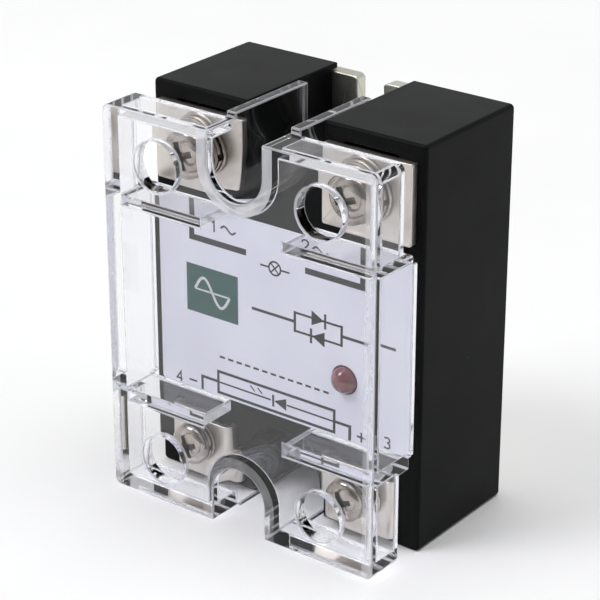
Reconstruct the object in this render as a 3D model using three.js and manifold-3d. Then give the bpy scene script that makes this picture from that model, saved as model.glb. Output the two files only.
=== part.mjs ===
// Panel-mount solid state relay with a lift-off clear cover, as separate solids in millimetres.
// The relay stands on its lower end: +X to the right, +Y from the face to the heatsink side, +Z up.
// The origin is the centre of the lowest plane of the whole object.
import * as THREE from 'three';
import { mergeVertices } from 'three/addons/utils/BufferGeometryUtils.js';
import Module from 'manifold-3d';

// ---------------------------------------------------------------- driving dimensions

const BODY_WIDTH = 45;
const BODY_HEIGHT = 58.5;
const BODY_DEPTH = 20.3;
const BODY_CORNER_RADIUS = 0.6;
const WALL = 1.5;
const REAR_LIP = 0.85;

// The two mounting notches: the lower one opens down, the upper one opens up.
const NOTCH_HALF_WIDTH = 6.4;
const LOWER_ARC_Z = 5.3;
const UPPER_ARC_Z = BODY_HEIGHT - LOWER_ARC_Z;

const COVER_DEPTH = 10.7;
const PLATE_THICKNESS = 2.2;
const PLATE_PROTRUSION = 1.0;
// Clearance between the base plate's edge and the recess it sits in.
const PLATE_GAP = 0.1;

const TOTAL_DEPTH = COVER_DEPTH + BODY_DEPTH + PLATE_PROTRUSION;
// Y of the front face of the black housing. Depths are counted from it towards the heatsink.
const FACE_Y = COVER_DEPTH - TOTAL_DEPTH / 2;

// Clear cover.
const COVER_HALF_WIDTH = 22.5;
const COVER_BOTTOM = 0.55;
const COVER_TOP = BODY_HEIGHT - 0.75;
const COVER_CORNER_RADIUS = 1.0;
const COVER_PANEL = 2.1;
const COVER_WALL = 1.65;
const BOX_REAR_DEPTH = -4.6;
const MIDDLE_REAR_DEPTH = -1.4;
const SHELF_REAR_DEPTH = -2.4;
const SHELF_INNER_X = 6.9;
const LOWER_SHELF = { bottom: 13.8, top: 15.6 };
const UPPER_SHELF = { bottom: 43.3, top: 44.6 };
const TROUGH_INNER = 4.45;
const TROUGH_OUTER = 6.1;
const TROUGH_REAR_DEPTH = 11;
// The lower trough ends just above the surface that the relay stands on.
const TROUGH_LOWER_END = 0.05;
const DRIVER_HOLE_RADIUS = 3.6;
const DRIVER_HOLE_X = 13.5;
const DRIVER_HOLE_Z = [7.0, 50.6];

// Base plate fixings: a round hole at the lower end and an open slot at the upper end.
const FIXING_RADIUS = 2.25;
// Each fixing has a shallow spot face for the head or washer of its screw.
const SPOT_FACE = { radius: 4.6, depth: 0.08 };

// Face label and status light.
const LABEL = { halfWidth: 21.2, bottom: 14.1, top: 42.2, corner: 0.5, thickness: 0.2, gap: 0.05 };
const LIGHT = {
  x: 10.8,
  z: 23.0,
  radius: 1.95,
  front: -1.95,
  flangeRadius: 2.4,
  flangeFront: 2.2,
  rear: 3.2,
  clearance: 0.2,
  domeSteps: 5,
  leadSpacing: 2.54,
  leadRadius: 0.25,
};

// The two sizes of terminal. Depths are counted from the housing's front face.
const OUTPUT = {
  screwX: 13.5,
  screwZ: 50.6,
  innerX: 7.0,
  outerX: 21.2,
  bottom: 44.8,
  top: 56.1,
  faceDepth: -1.25,
  thickness: 1.2,
  corner: 0.8,
  leg: { inner: 10, outer: 18, depth: 12 },
  thread: 4,
  headRadius: 3.5,
  headHeight: 2.0,
  shankLength: 8.4,
  splitThickness: 0.8,
  washerRadius: 3.9,
  washerThickness: 0.6,
  nutSide: 7.0,
  nutHeight: 3.2,
};
const INPUT = {
  screwX: 13.5,
  screwZ: 7.0,
  innerX: 7.8,
  outerX: 18.5,
  bottom: 1.6,
  top: 10.4,
  faceDepth: -1.9,
  thickness: 0.8,
  corner: 0.6,
  leg: { bottom: 7.2, depth: 9.2 },
  thread: 3,
  headRadius: 3.0,
  headHeight: 1.6,
  shankLength: 6.4,
  splitThickness: 0.65,
  washerRadius: 3.2,
  washerThickness: 0.5,
  nutSide: 5.5,
  nutHeight: 2.4,
};
// Terminals 1 and 2 switch the load, and 3 and 4 take the control voltage.
const TERMINALS = [
  { number: 1, side: -1, kind: OUTPUT, node: 'output_terminal_1' },
  { number: 2, side: 1, kind: OUTPUT, node: 'output_terminal_2' },
  { number: 3, side: 1, kind: INPUT, node: 'input_terminal_3' },
  { number: 4, side: -1, kind: INPUT, node: 'input_terminal_4' },
];

// The washer sits in a shallow coined seat in the terminal's face.
const WASHER_SEAT = { margin: 0.25, depth: 0.08 };
// Half of the gap in a split washer's ring.
const SPLIT_DEGREES = 9;
const NUT_CORNER = 0.6;

// Power stage and driver board. Depths are counted from the housing's front face.
const SUBSTRATE = { halfWidth: 15.5, halfHeight: 12, corner: 0.5, front: 18.2, rear: 18.9 };
const DIE = { x: 10, half: 4.6, corner: 0.4, front: 17.5, rear: 17.9 };
const BUSBAR = { innerX: 9.5, outerX: 14.5, armFront: 8, front: 16.2, thickness: 1.0, bottom: 26.5 };
const GATE_LEAD = { x: 6.6, z: 32, radius: 0.4 };
const BOARD = { front: 9.5, rear: 11.1, halfWidth: 19.4, bottom: 5.5, top: 43.4 };
// The board's lower edge goes round the lower notch.
const BOARD_CUT = { halfWidth: 8.6, top: 13.8 };
const POTTING = { front: 12.6, rear: 15.8 };
const CENTRE_Z = BODY_HEIGHT / 2;
const COMPONENT_GAP = 0.1;
const BOXED_CORNER = 0.4;

// Clearance between a piece and the opening that it passes through or sits in.
const GAP = 0.3;
// Clearance between stacked flat pieces.
const STACK_GAP = 0.05;
const NUT_POCKET_GAP = 0.3;
const NUT_DEPTH = 0.2;
const BOSS = { wall: 0.9, floor: 2.4 };
// How far a cutting shape runs past the face that it cuts.
const OVERRUN = 1;

const ROUND_SEGMENTS = 20;
const SMALL_SEGMENTS = 16;
const WIRE_SEGMENTS = 8;
const NOTCH_SEGMENTS = 20;
const CORNER_SEGMENTS = 3;

// ---------------------------------------------------------------- joining and cutting

const wasm = await Module();
wasm.setup();

function toSolid(geometry) {
  const bare = geometry.clone();
  bare.deleteAttribute('normal');
  bare.deleteAttribute('uv');
  const merged = mergeVertices(bare, 1e-4);
  return new wasm.Manifold(new wasm.Mesh({
    numProp: 3,
    vertProperties: merged.attributes.position.array,
    triVerts: new Uint32Array(merged.index.array),
  }));
}

function toGeometry(solid) {
  const result = solid.getMesh();
  const geometry = new THREE.BufferGeometry();
  geometry.setAttribute('position', new THREE.BufferAttribute(result.vertProperties, 3));
  geometry.setIndex(new THREE.BufferAttribute(result.triVerts, 1));
  geometry.computeVertexNormals();
  return geometry;
}

// Adds every geometry of the first list together and takes away every one of the second.
function combine(added, removed = []) {
  let solid = toSolid(added[0]);
  for (const geometry of added.slice(1)) {
    solid = solid.add(toSolid(geometry));
  }
  for (const geometry of removed) {
    solid = solid.subtract(toSolid(geometry));
  }
  return toGeometry(solid);
}

// Keeps only what lies inside both geometries.
function clip(geometry, envelope) {
  return toGeometry(toSolid(geometry).intersect(toSolid(envelope)));
}

// ---------------------------------------------------------------- shapes

const atDepth = (depth) => FACE_Y + depth;

// A box between two x values, two depths and two heights, in any order.
function block([x0, x1], [depth0, depth1], [z0, z1]) {
  const size = [Math.abs(x1 - x0), Math.abs(depth1 - depth0), Math.abs(z1 - z0)];
  const geometry = new THREE.BoxGeometry(...size);
  return geometry.translate((x0 + x1) / 2, atDepth((depth0 + depth1) / 2), (z0 + z1) / 2);
}

// A flat outline drawn in x and z, given thickness from one depth to a deeper one.
function panel(outline, frontDepth, rearDepth) {
  const depth = rearDepth - frontDepth;
  const geometry = new THREE.ExtrudeGeometry(outline, { depth, bevelEnabled: false });
  return geometry.rotateX(Math.PI / 2).translate(0, atDepth(rearDepth), 0);
}

function rod(radius, [x, z], frontDepth, rearDepth, segments = ROUND_SEGMENTS) {
  const length = rearDepth - frontDepth;
  const geometry = new THREE.CylinderGeometry(radius, radius, length, segments);
  return geometry.translate(x, atDepth((frontDepth + rearDepth) / 2), z);
}

// A profile of [radius, depth] pairs, from the rear round to the front, turned about a line along Y.
function turned(profile, [x, z]) {
  const points = profile.map(([radius, depth]) => new THREE.Vector2(radius, depth)).reverse();
  return new THREE.LatheGeometry(points, ROUND_SEGMENTS).translate(x, FACE_Y, z);
}

// Points along an arc, both ends included.
function arc([x, z], radius, startDegrees, endDegrees, segments) {
  const points = [];
  for (let step = 0; step <= segments; step += 1) {
    const degrees = startDegrees + ((endDegrees - startDegrees) * step) / segments;
    const angle = THREE.MathUtils.degToRad(degrees);
    points.push(new THREE.Vector2(x + radius * Math.cos(angle), z + radius * Math.sin(angle)));
  }
  return points;
}

function roundedRectangle([left, right], [bottom, top], radius) {
  return new THREE.Shape([
    ...arc([right - radius, bottom + radius], radius, -90, 0, CORNER_SEGMENTS),
    ...arc([right - radius, top - radius], radius, 0, 90, CORNER_SEGMENTS),
    ...arc([left + radius, top - radius], radius, 90, 180, CORNER_SEGMENTS),
    ...arc([left + radius, bottom + radius], radius, 180, 270, CORNER_SEGMENTS),
  ]);
}

// A rounded rectangle with a round-ended notch in the middle of its lower and upper edges.
function notchedOutline(halfWidth, [bottom, top], radius, notch) {
  const cornerX = halfWidth - radius;
  return new THREE.Shape([
    new THREE.Vector2(-notch, bottom),
    ...arc([0, LOWER_ARC_Z], notch, 180, 0, NOTCH_SEGMENTS),
    new THREE.Vector2(notch, bottom),
    ...arc([cornerX, bottom + radius], radius, -90, 0, CORNER_SEGMENTS),
    ...arc([cornerX, top - radius], radius, 0, 90, CORNER_SEGMENTS),
    new THREE.Vector2(notch, top),
    ...arc([0, UPPER_ARC_Z], notch, 0, -180, NOTCH_SEGMENTS),
    new THREE.Vector2(-notch, top),
    ...arc([-cornerX, top - radius], radius, 90, 180, CORNER_SEGMENTS),
    ...arc([-cornerX, bottom + radius], radius, 180, 270, CORNER_SEGMENTS),
  ]);
}

// The section of a trough: a U of constant wall from its open end round the notch's arc centre.
function troughOutline(arcZ, endZ) {
  const halfTurn = endZ < arcZ ? 180 : -180;
  return new THREE.Shape([
    new THREE.Vector2(TROUGH_OUTER, endZ),
    ...arc([0, arcZ], TROUGH_OUTER, 0, halfTurn, NOTCH_SEGMENTS),
    new THREE.Vector2(-TROUGH_OUTER, endZ),
    new THREE.Vector2(-TROUGH_INNER, endZ),
    ...arc([0, arcZ], TROUGH_INNER, halfTurn, 0, NOTCH_SEGMENTS),
    new THREE.Vector2(TROUGH_INNER, endZ),
  ]);
}

function circleHole(x, z, radius) {
  return new THREE.Path(arc([x, z], radius, 0, -360, ROUND_SEGMENTS).slice(1));
}

// ---------------------------------------------------------------- scene graph

const relay = new THREE.Group();
relay.name = 'solid_state_relay';

const LOOKS = {
  blackPlastic: { color: 0x141516, roughness: 0.38, metalness: 0 },
  clearPlastic: { color: 0xeef0f6, roughness: 0.05, metalness: 0, opacity: 0.3, transparent: true },
  paper: { color: 0xdcdcec, roughness: 0.55, metalness: 0 },
  redLens: { color: 0x5e1220, roughness: 0.15, metalness: 0 },
  nickel: { color: 0xc9c1b4, roughness: 0.28, metalness: 1 },
  aluminium: { color: 0xb9bdb0, roughness: 0.42, metalness: 1 },
  copper: { color: 0xb87a55, roughness: 0.35, metalness: 1 },
  ceramic: { color: 0xe9e6de, roughness: 0.6, metalness: 0 },
  silicon: { color: 0x50545c, roughness: 0.2, metalness: 0.6 },
  circuitBoard: { color: 0x1f5a36, roughness: 0.5, metalness: 0 },
  blackEpoxy: { color: 0x1b1b1d, roughness: 0.55, metalness: 0 },
  resistorBody: { color: 0xb8a078, roughness: 0.5, metalness: 0 },
  filmCapacitor: { color: 0x9c2f22, roughness: 0.4, metalness: 0 },
  varistorBlue: { color: 0x27508c, roughness: 0.4, metalness: 0 },
  canSleeve: { color: 0x2b2f45, roughness: 0.35, metalness: 0 },
  potting: { color: 0x3a3c3e, roughness: 0.65, metalness: 0 },
};

function place(name, geometry, look) {
  const mesh = new THREE.Mesh(geometry, new THREE.MeshStandardMaterial(LOOKS[look]));
  mesh.name = name;
  relay.add(mesh);
}

// ---------------------------------------------------------------- housing and base plate

// The nut pocket and the boss round it, behind the housing's front wall.
function squareAround({ side, kind }, reach, depth) {
  const x = side * kind.screwX;
  const z = kind.screwZ;
  return block([x - reach, x + reach], depth, [z - reach, z + reach]);
}

function bossAround(terminal) {
  const { nutSide, nutHeight } = terminal.kind;
  const reach = nutSide / 2 + NUT_POCKET_GAP + BOSS.wall;
  return squareAround(terminal, reach, [WALL / 2, nutHeight + BOSS.floor]);
}

function nutPocket(terminal) {
  const { nutSide, nutHeight } = terminal.kind;
  const reach = nutSide / 2 + NUT_POCKET_GAP;
  return squareAround(terminal, reach, [-OVERRUN, NUT_DEPTH + nutHeight + NUT_POCKET_GAP]);
}

function screwTipRelief({ side, kind }) {
  const centre = [side * kind.screwX, kind.screwZ];
  const rear = kind.nutHeight + BOSS.floor + OVERRUN;
  return rod(kind.thread / 2 + GAP, centre, WALL, rear, SMALL_SEGMENTS);
}

// The part of each terminal that passes through the housing's front wall, grown by a margin.
function terminalLeg({ side, kind }, margin) {
  const depth = [kind.faceDepth + kind.thickness / 2, kind.leg.depth];
  if (kind === OUTPUT) {
    const x = [side * (kind.leg.inner - margin), side * (kind.leg.outer + margin)];
    return block(x, depth, [kind.top - kind.thickness - margin, kind.top + margin]);
  }
  const x = [side * (kind.outerX - kind.thickness - margin), side * (kind.outerX + margin)];
  return block(x, depth, [kind.leg.bottom - margin, kind.top + margin]);
}

function housing() {
  const outer = notchedOutline(BODY_WIDTH / 2, [0, BODY_HEIGHT], BODY_CORNER_RADIUS, NOTCH_HALF_WIDTH);
  const inner = notchedOutline(
    BODY_WIDTH / 2 - WALL,
    [WALL, BODY_HEIGHT - WALL],
    BODY_CORNER_RADIUS,
    NOTCH_HALF_WIDTH + WALL,
  );
  const shell = combine([panel(outer, 0, BODY_DEPTH)], [panel(inner, WALL, BODY_DEPTH + OVERRUN)]);
  const recess = roundedRectangle(
    [-BODY_WIDTH / 2 + REAR_LIP, BODY_WIDTH / 2 - REAR_LIP],
    [REAR_LIP, BODY_HEIGHT - REAR_LIP],
    BODY_CORNER_RADIUS,
  );
  const recessDepth = BODY_DEPTH + PLATE_PROTRUSION - PLATE_THICKNESS - STACK_GAP;
  const removed = [panel(recess, recessDepth, BODY_DEPTH + OVERRUN)];
  for (const terminal of TERMINALS) {
    removed.push(nutPocket(terminal), screwTipRelief(terminal), terminalLeg(terminal, GAP));
  }
  removed.push(rod(LIGHT.radius + LIGHT.clearance, [LIGHT.x, LIGHT.z], -OVERRUN, WALL + OVERRUN));
  place('housing', combine([shell, ...TERMINALS.map(bossAround)], removed), 'blackPlastic');
}

function basePlate() {
  const inset = REAR_LIP + PLATE_GAP;
  const sheet = roundedRectangle(
    [-BODY_WIDTH / 2 + inset, BODY_WIDTH / 2 - inset],
    [inset, BODY_HEIGHT - inset],
    BODY_CORNER_RADIUS,
  );
  sheet.holes.push(circleHole(0, LOWER_ARC_Z, FIXING_RADIUS));
  const rear = BODY_DEPTH + PLATE_PROTRUSION;
  const front = rear - PLATE_THICKNESS;
  const through = [front - OVERRUN, rear + OVERRUN];
  const slotMouth = block([-FIXING_RADIUS, FIXING_RADIUS], through, [UPPER_ARC_Z, BODY_HEIGHT + OVERRUN]);
  const slotEnd = rod(FIXING_RADIUS, [0, UPPER_ARC_Z], ...through);
  const spotFaces = [LOWER_ARC_Z, UPPER_ARC_Z].map((z) => (
    rod(SPOT_FACE.radius, [0, z], front - OVERRUN, front + SPOT_FACE.depth)
  ));
  const removed = [slotMouth, slotEnd, ...spotFaces];
  place('base_plate', combine([panel(sheet, front, rear)], removed), 'aluminium');
}

// ---------------------------------------------------------------- clear cover

// The two troughs, full length and as tall as the housing.
function coverTroughs(front) {
  return [
    panel(troughOutline(LOWER_ARC_Z, TROUGH_LOWER_END), front, TROUGH_REAR_DEPTH),
    panel(troughOutline(UPPER_ARC_Z, BODY_HEIGHT), front, TROUGH_REAR_DEPTH),
  ];
}

// In front of the housing the troughs are cut back to the cover's own lower and upper ends.
function troughTrims() {
  const x = [-TROUGH_OUTER - OVERRUN, TROUGH_OUTER + OVERRUN];
  const depth = [-COVER_DEPTH - OVERRUN, BOX_REAR_DEPTH];
  return [
    block(x, depth, [-OVERRUN, COVER_BOTTOM]),
    block(x, depth, [COVER_TOP, BODY_HEIGHT + OVERRUN]),
  ];
}

function coverWalls(side, front) {
  const outer = side * COVER_HALF_WIDTH;
  const inner = side * (COVER_HALF_WIDTH - COVER_WALL);
  const sideWall = [inner, outer];
  const endWall = [side * (TROUGH_INNER + TROUGH_OUTER) / 2, outer];
  const shelf = [side * SHELF_INNER_X, outer];
  return [
    block(sideWall, [front, BOX_REAR_DEPTH], [COVER_BOTTOM, COVER_TOP]),
    block(sideWall, [front, MIDDLE_REAR_DEPTH], [LOWER_SHELF.top, UPPER_SHELF.bottom]),
    block(endWall, [front, BOX_REAR_DEPTH], [COVER_BOTTOM, COVER_BOTTOM + COVER_WALL]),
    block(endWall, [front, BOX_REAR_DEPTH], [COVER_TOP - COVER_WALL, COVER_TOP]),
    block(shelf, [front, SHELF_REAR_DEPTH], [LOWER_SHELF.bottom, LOWER_SHELF.top]),
    block(shelf, [front, SHELF_REAR_DEPTH], [UPPER_SHELF.bottom, UPPER_SHELF.top]),
  ];
}

function clearCover() {
  const front = -COVER_DEPTH;
  const height = [COVER_BOTTOM, COVER_TOP];
  const face = notchedOutline(COVER_HALF_WIDTH, height, COVER_CORNER_RADIUS, TROUGH_INNER);
  const envelope = roundedRectangle([-COVER_HALF_WIDTH, COVER_HALF_WIDTH], height, COVER_CORNER_RADIUS);
  const wallFront = front + COVER_PANEL / 2;
  const walls = combine([...coverWalls(-1, wallFront), ...coverWalls(1, wallFront)]);
  const roundedWalls = clip(walls, panel(envelope, front, 0));
  const removed = troughTrims();
  for (const side of [-1, 1]) {
    for (const z of DRIVER_HOLE_Z) {
      const centre = [side * DRIVER_HOLE_X, z];
      removed.push(rod(DRIVER_HOLE_RADIUS, centre, front - OVERRUN, front + COVER_PANEL + OVERRUN));
    }
  }
  const added = [panel(face, front, front + COVER_PANEL), roundedWalls, ...coverTroughs(wallFront)];
  place('clear_cover', combine(added, removed), 'clearPlastic');
}

// ---------------------------------------------------------------- label and status light

function faceLabel() {
  const { halfWidth, bottom, top, corner, thickness, gap } = LABEL;
  const outline = roundedRectangle([-halfWidth, halfWidth], [bottom, top], corner);
  outline.holes.push(circleHole(LIGHT.x, LIGHT.z, LIGHT.radius + LIGHT.clearance));
  place('face_label', panel(outline, -gap - thickness, -gap), 'paper');
}

function statusLight() {
  const { x, z, radius, front, flangeRadius, flangeFront, rear, domeSteps } = LIGHT;
  const profile = [[0, rear], [flangeRadius, rear], [flangeRadius, flangeFront], [radius, flangeFront]];
  for (let step = 0; step <= domeSteps; step += 1) {
    const angle = (step / domeSteps) * (Math.PI / 2);
    const ring = step === domeSteps ? 0 : radius * Math.cos(angle);
    profile.push([ring, front + radius - radius * Math.sin(angle)]);
  }
  place('status_light', turned(profile, [x, z]), 'redLens');
  for (const [index, side] of [-1, 1].entries()) {
    const centre = [x + (side * LIGHT.leadSpacing) / 2, z];
    const lead = rod(LIGHT.leadRadius, centre, rear + GAP, BOARD.front - GAP, WIRE_SEGMENTS);
    place(`light_lead_${index + 1}`, lead, 'nickel');
  }
}

// ---------------------------------------------------------------- terminals and their hardware

// The pad that a wire is clamped to, with its screw hole.
function terminalPad({ side, kind }) {
  const x = [side * kind.innerX, side * kind.outerX].sort((a, b) => a - b);
  const pad = roundedRectangle(x, [kind.bottom, kind.top], kind.corner);
  pad.holes.push(circleHole(side * kind.screwX, kind.screwZ, kind.thread / 2 + GAP));
  return panel(pad, kind.faceDepth, kind.faceDepth + kind.thickness);
}

function washerSeat({ side, kind }) {
  const depth = [kind.faceDepth - OVERRUN, kind.faceDepth + WASHER_SEAT.depth];
  return rod(kind.washerRadius + WASHER_SEAT.margin, [side * kind.screwX, kind.screwZ], ...depth);
}

// Output terminal: a flat pad with one leg turned back into the housing along its upper edge.
function outputTerminal(terminal) {
  const added = [terminalPad(terminal), terminalLeg(terminal, 0)];
  place(terminal.node, combine(added, [washerSeat(terminal)]), 'nickel');
}

// Input terminal: a bridge with both sides turned back, the outer one running on to the board.
function inputTerminal(terminal) {
  const { side, kind } = terminal;
  const height = [kind.bottom + kind.corner, kind.top - kind.corner];
  const depth = [kind.faceDepth + kind.thickness / 2, -STACK_GAP];
  const innerX = [side * kind.innerX, side * (kind.innerX + kind.thickness)];
  const outerX = [side * kind.outerX, side * (kind.outerX - kind.thickness)];
  const flanges = [block(innerX, depth, height), block(outerX, depth, height)];
  const added = [terminalPad(terminal), ...flanges, terminalLeg(terminal, 0)];
  place(terminal.node, combine(added, [washerSeat(terminal)]), 'nickel');
}

function clampWasher(number, centre, kind, rear) {
  const bore = kind.thread / 2 + GAP / 2;
  const front = rear - kind.washerThickness;
  const profile = [
    [bore, front],
    [bore, rear],
    [kind.washerRadius, rear],
    [kind.washerRadius, front],
    [bore, front],
  ];
  place(`clamp_washer_${number}`, turned(profile, centre), 'nickel');
  return front;
}

function splitWasher(number, centre, kind, rear) {
  const bore = kind.thread / 2 + GAP / 2;
  const front = rear - kind.splitThickness;
  const radius = kind.headRadius + 0.1;
  const ring = new THREE.Shape([
    ...arc(centre, radius, SPLIT_DEGREES, 360 - SPLIT_DEGREES, ROUND_SEGMENTS),
    ...arc(centre, bore, 360 - SPLIT_DEGREES, SPLIT_DEGREES, ROUND_SEGMENTS),
  ]);
  place(`split_washer_${number}`, panel(ring, front, rear), 'nickel');
  return front;
}

// A pan head with a cross recess, on a plain shank with a chamfered tip.
function terminalScrew(number, centre, kind, headRear) {
  const { headRadius, headHeight } = kind;
  const headFront = headRear - headHeight;
  const tip = headRear + kind.shankLength;
  const shank = kind.thread / 2 - 0.05;
  const chamfer = kind.thread / 10;
  const profile = [
    [0, tip],
    [shank - chamfer, tip],
    [shank, tip - chamfer],
    [shank, headRear],
    [headRadius, headRear],
    [headRadius, headFront + headHeight * 0.4],
    [headRadius * 0.8, headFront + headHeight * 0.1],
    [headRadius * 0.5, headFront],
    [0, headFront],
  ];
  const [x, z] = centre;
  const reach = headRadius * 0.6;
  const halfSlot = kind.thread * 0.11;
  const recess = [headFront - OVERRUN, headFront + headHeight * 0.55];
  const across = block([x - reach, x + reach], recess, [z - halfSlot, z + halfSlot]);
  const upright = block([x - halfSlot, x + halfSlot], recess, [z - reach, z + reach]);
  place(`terminal_screw_${number}`, combine([turned(profile, centre)], [across, upright]), 'nickel');
}

function terminalNut(number, [x, z], kind) {
  const half = kind.nutSide / 2;
  const nut = roundedRectangle([x - half, x + half], [z - half, z + half], NUT_CORNER);
  nut.holes.push(circleHole(x, z, kind.thread / 2 + GAP / 2));
  place(`terminal_nut_${number}`, panel(nut, NUT_DEPTH, NUT_DEPTH + kind.nutHeight), 'nickel');
}

// Clamp washer, split washer and screw, stacked forward from the terminal, and the nut behind it.
function hardware({ number, side, kind }) {
  const centre = [side * kind.screwX, kind.screwZ];
  const washerFront = clampWasher(number, centre, kind, kind.faceDepth + WASHER_SEAT.depth - STACK_GAP);
  const splitFront = splitWasher(number, centre, kind, washerFront - STACK_GAP);
  terminalScrew(number, centre, kind, splitFront - STACK_GAP);
  terminalNut(number, centre, kind);
}

// ---------------------------------------------------------------- power stage on the base plate

// The busbar's forward arm lies under the leg of the output terminal.
function busbarArm(side, margin) {
  const top = OUTPUT.top - OUTPUT.thickness - GAP + margin;
  const bottom = top - BUSBAR.thickness - 2 * margin;
  const x = [side * (BUSBAR.innerX - margin), side * (BUSBAR.outerX + margin)];
  return block(x, [BUSBAR.armFront, BUSBAR.front + BUSBAR.thickness], [bottom, top]);
}

function gateLead(side, margin, depth) {
  const centre = [side * GATE_LEAD.x, GATE_LEAD.z];
  return rod(GATE_LEAD.radius + margin, centre, ...depth, WIRE_SEGMENTS);
}

function powerStage() {
  const { halfWidth, halfHeight, front, rear } = SUBSTRATE;
  const height = [CENTRE_Z - halfHeight, CENTRE_Z + halfHeight];
  const sheet = roundedRectangle([-halfWidth, halfWidth], height, SUBSTRATE.corner);
  place('ceramic_substrate', panel(sheet, front, rear), 'ceramic');
  for (const [index, side] of [-1, 1].entries()) {
    const x = side * DIE.x;
    const { half, corner } = DIE;
    const chip = roundedRectangle([x - half, x + half], [CENTRE_Z - half, CENTRE_Z + half], corner);
    place(`thyristor_${index + 1}`, panel(chip, DIE.front, DIE.rear), 'silicon');
    const strip = block(
      [side * BUSBAR.innerX, side * BUSBAR.outerX],
      [BUSBAR.front, BUSBAR.front + BUSBAR.thickness],
      [BUSBAR.bottom, OUTPUT.top - OUTPUT.thickness - GAP],
    );
    place(`busbar_${index + 1}`, combine([strip, busbarArm(side, 0)]), 'copper');
    const lead = gateLead(side, 0, [BOARD.rear + GAP, DIE.front - GAP]);
    place(`gate_lead_${index + 1}`, lead, 'copper');
  }
}

function pottingCompound() {
  const inset = WALL + GAP;
  const outline = notchedOutline(
    BODY_WIDTH / 2 - inset,
    [inset, BODY_HEIGHT - inset],
    BODY_CORNER_RADIUS,
    NOTCH_HALF_WIDTH + inset,
  );
  const removed = [];
  for (const side of [-1, 1]) {
    removed.push(busbarArm(side, GAP));
    removed.push(gateLead(side, GAP, [POTTING.front - OVERRUN, POTTING.rear + OVERRUN]));
  }
  place('potting_compound', combine([panel(outline, POTTING.front, POTTING.rear)], removed), 'potting');
}

// ---------------------------------------------------------------- driver board

function driverBoard() {
  const { halfWidth, bottom, top } = BOARD;
  const outline = new THREE.Shape();
  outline.moveTo(-halfWidth, bottom);
  outline.lineTo(-BOARD_CUT.halfWidth, bottom);
  outline.lineTo(-BOARD_CUT.halfWidth, BOARD_CUT.top);
  outline.lineTo(BOARD_CUT.halfWidth, BOARD_CUT.top);
  outline.lineTo(BOARD_CUT.halfWidth, bottom);
  outline.lineTo(halfWidth, bottom);
  outline.lineTo(halfWidth, top);
  outline.lineTo(-halfWidth, top);
  place('driver_board', panel(outline, BOARD.front, BOARD.rear), 'circuitBoard');
}

// A boxed component standing on the board's front side.
function boxed(name, [x, z], [width, height, rise], look) {
  const rear = BOARD.front - COMPONENT_GAP;
  const halfX = width / 2;
  const halfZ = height / 2;
  const outline = roundedRectangle([x - halfX, x + halfX], [z - halfZ, z + halfZ], BOXED_CORNER);
  place(name, panel(outline, rear - rise, rear), look);
}

// A round component lying on the board's front side, its axis along x or z.
function lying(name, [x, z], radius, length, axis, look) {
  const geometry = new THREE.CylinderGeometry(radius, radius, length, SMALL_SEGMENTS);
  if (axis === 'x') {
    geometry.rotateZ(Math.PI / 2);
  } else {
    geometry.rotateX(Math.PI / 2);
  }
  place(name, geometry.translate(x, atDepth(BOARD.front - COMPONENT_GAP - radius), z), look);
}

function boardComponents() {
  boxed('optocoupler', [-4.5, 29.5], [6.4, 8.8, 3.6], 'blackEpoxy');
  boxed('bridge_rectifier', [-13.5, 17.5], [8.2, 6.4, 3.3], 'blackEpoxy');
  boxed('snubber_capacitor', [8.5, 39], [13, 5, 6.8], 'filmCapacitor');
  lying('snubber_resistor', [-10.5, 39.5], 2.1, 11, 'x', 'resistorBody');
  lying('smoothing_capacitor', [4.2, 19.2], 2.5, 7.4, 'z', 'canSleeve');
  lying('dropper_resistor_1', [-4.6, 18.6], 1.5, 7.5, 'z', 'resistorBody');
  lying('dropper_resistor_2', [-0.9, 18.6], 1.5, 7.5, 'z', 'resistorBody');
  lying('gate_resistor_1', [3.2, 30], 1.2, 6.3, 'z', 'resistorBody');
  lying('gate_resistor_2', [6.4, 30], 1.2, 6.3, 'z', 'resistorBody');
  lying('varistor', [-13.5, 28.5], 3.6, 3.4, 'x', 'varistorBlue');
}

housing();
basePlate();
clearCover();
faceLabel();
statusLight();
for (const terminal of TERMINALS) {
  if (terminal.kind === OUTPUT) {
    outputTerminal(terminal);
  } else {
    inputTerminal(terminal);
  }
  hardware(terminal);
}
powerStage();
pottingCompound();
driverBoard();
boardComponents();

export default relay;
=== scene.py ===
# Looks of the panel-mount solid state relay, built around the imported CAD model.
# Everything is in metres in the row frame: +X right, +Y towards the heatsink, +Z up.
import math

import bmesh
import bpy
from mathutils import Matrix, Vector

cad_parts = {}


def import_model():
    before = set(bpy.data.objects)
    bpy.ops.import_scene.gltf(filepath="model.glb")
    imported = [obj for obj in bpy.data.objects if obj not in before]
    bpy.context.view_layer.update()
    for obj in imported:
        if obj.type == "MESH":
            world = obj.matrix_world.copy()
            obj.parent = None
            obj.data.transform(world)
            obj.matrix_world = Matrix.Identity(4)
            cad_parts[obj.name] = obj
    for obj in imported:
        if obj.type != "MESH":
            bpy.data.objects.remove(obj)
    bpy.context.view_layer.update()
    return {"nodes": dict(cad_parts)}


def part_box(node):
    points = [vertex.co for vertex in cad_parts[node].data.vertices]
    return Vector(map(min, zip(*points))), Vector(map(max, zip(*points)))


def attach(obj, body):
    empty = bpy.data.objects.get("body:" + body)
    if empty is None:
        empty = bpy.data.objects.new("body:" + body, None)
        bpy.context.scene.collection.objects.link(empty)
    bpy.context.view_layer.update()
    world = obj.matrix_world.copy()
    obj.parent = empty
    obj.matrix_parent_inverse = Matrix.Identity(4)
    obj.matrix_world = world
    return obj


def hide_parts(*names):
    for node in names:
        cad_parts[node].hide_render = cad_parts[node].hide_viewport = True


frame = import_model()
MM = 0.001
# Sockets of Blender's Mix node when it mixes two colours.
MIX_FACTOR, MIX_FIRST, MIX_SECOND, MIX_RESULT = 0, 6, 7, 2


# ---------------------------------------------------------------- node helpers for materials

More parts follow.
